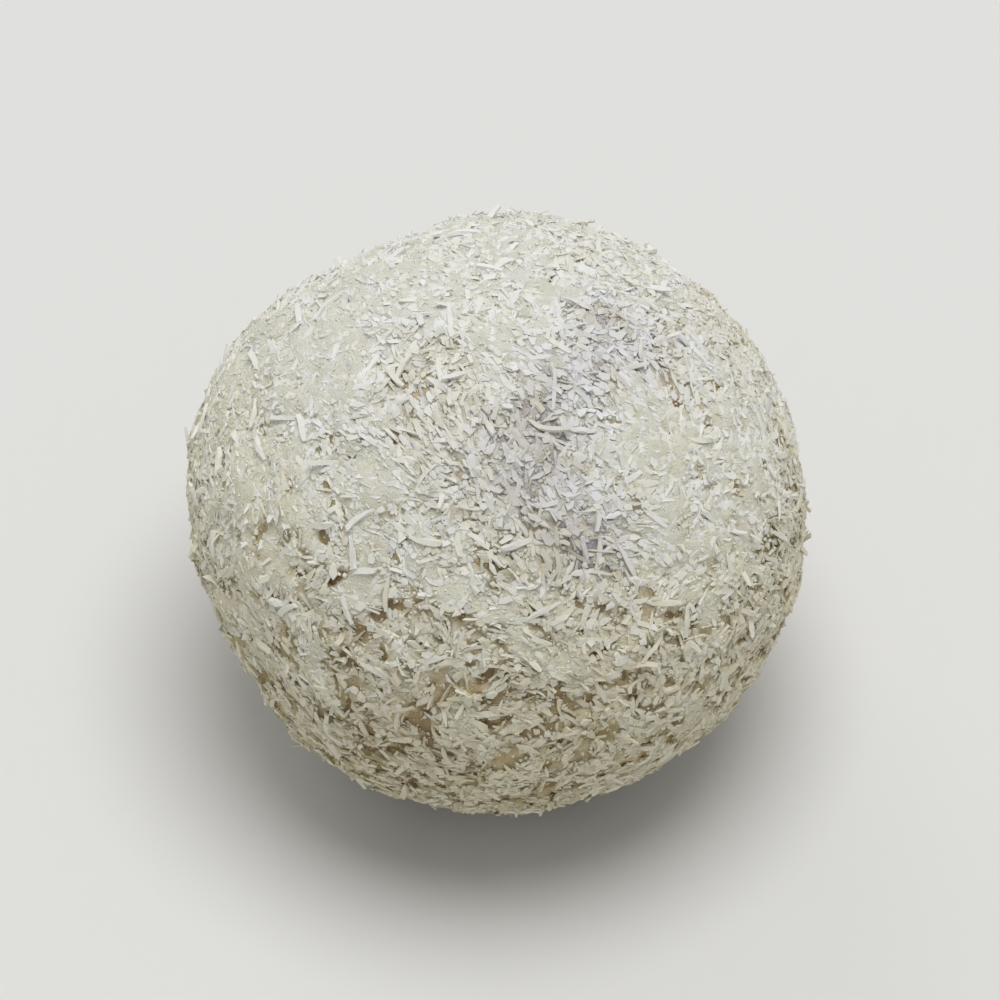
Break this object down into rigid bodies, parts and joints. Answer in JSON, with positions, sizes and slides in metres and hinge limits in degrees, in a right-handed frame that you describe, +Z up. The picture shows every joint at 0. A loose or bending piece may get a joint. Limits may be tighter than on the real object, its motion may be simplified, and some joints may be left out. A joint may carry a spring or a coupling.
{
  "type": "date coconut ball",
  "caption": "Hand-rolled ball of date paste, coated all over in fine desiccated coconut, resting on a small flat spot.",
  "frame": {"origin": "middle of the small flat spot on which the ball rests", "axes": "+Z up out of the flat spot; the side that the picture shows faces -Y and +Z"},
  "size_m": [0.0369, 0.0366, 0.0353],
  "materials": {
    "coconut_coat": "matt ivory-white desiccated coconut over dark brown date paste"
  },
  "bodies": {
    "root": {"date_coconut_ball": "coconut_coat"}
  },
  "joints": []
}
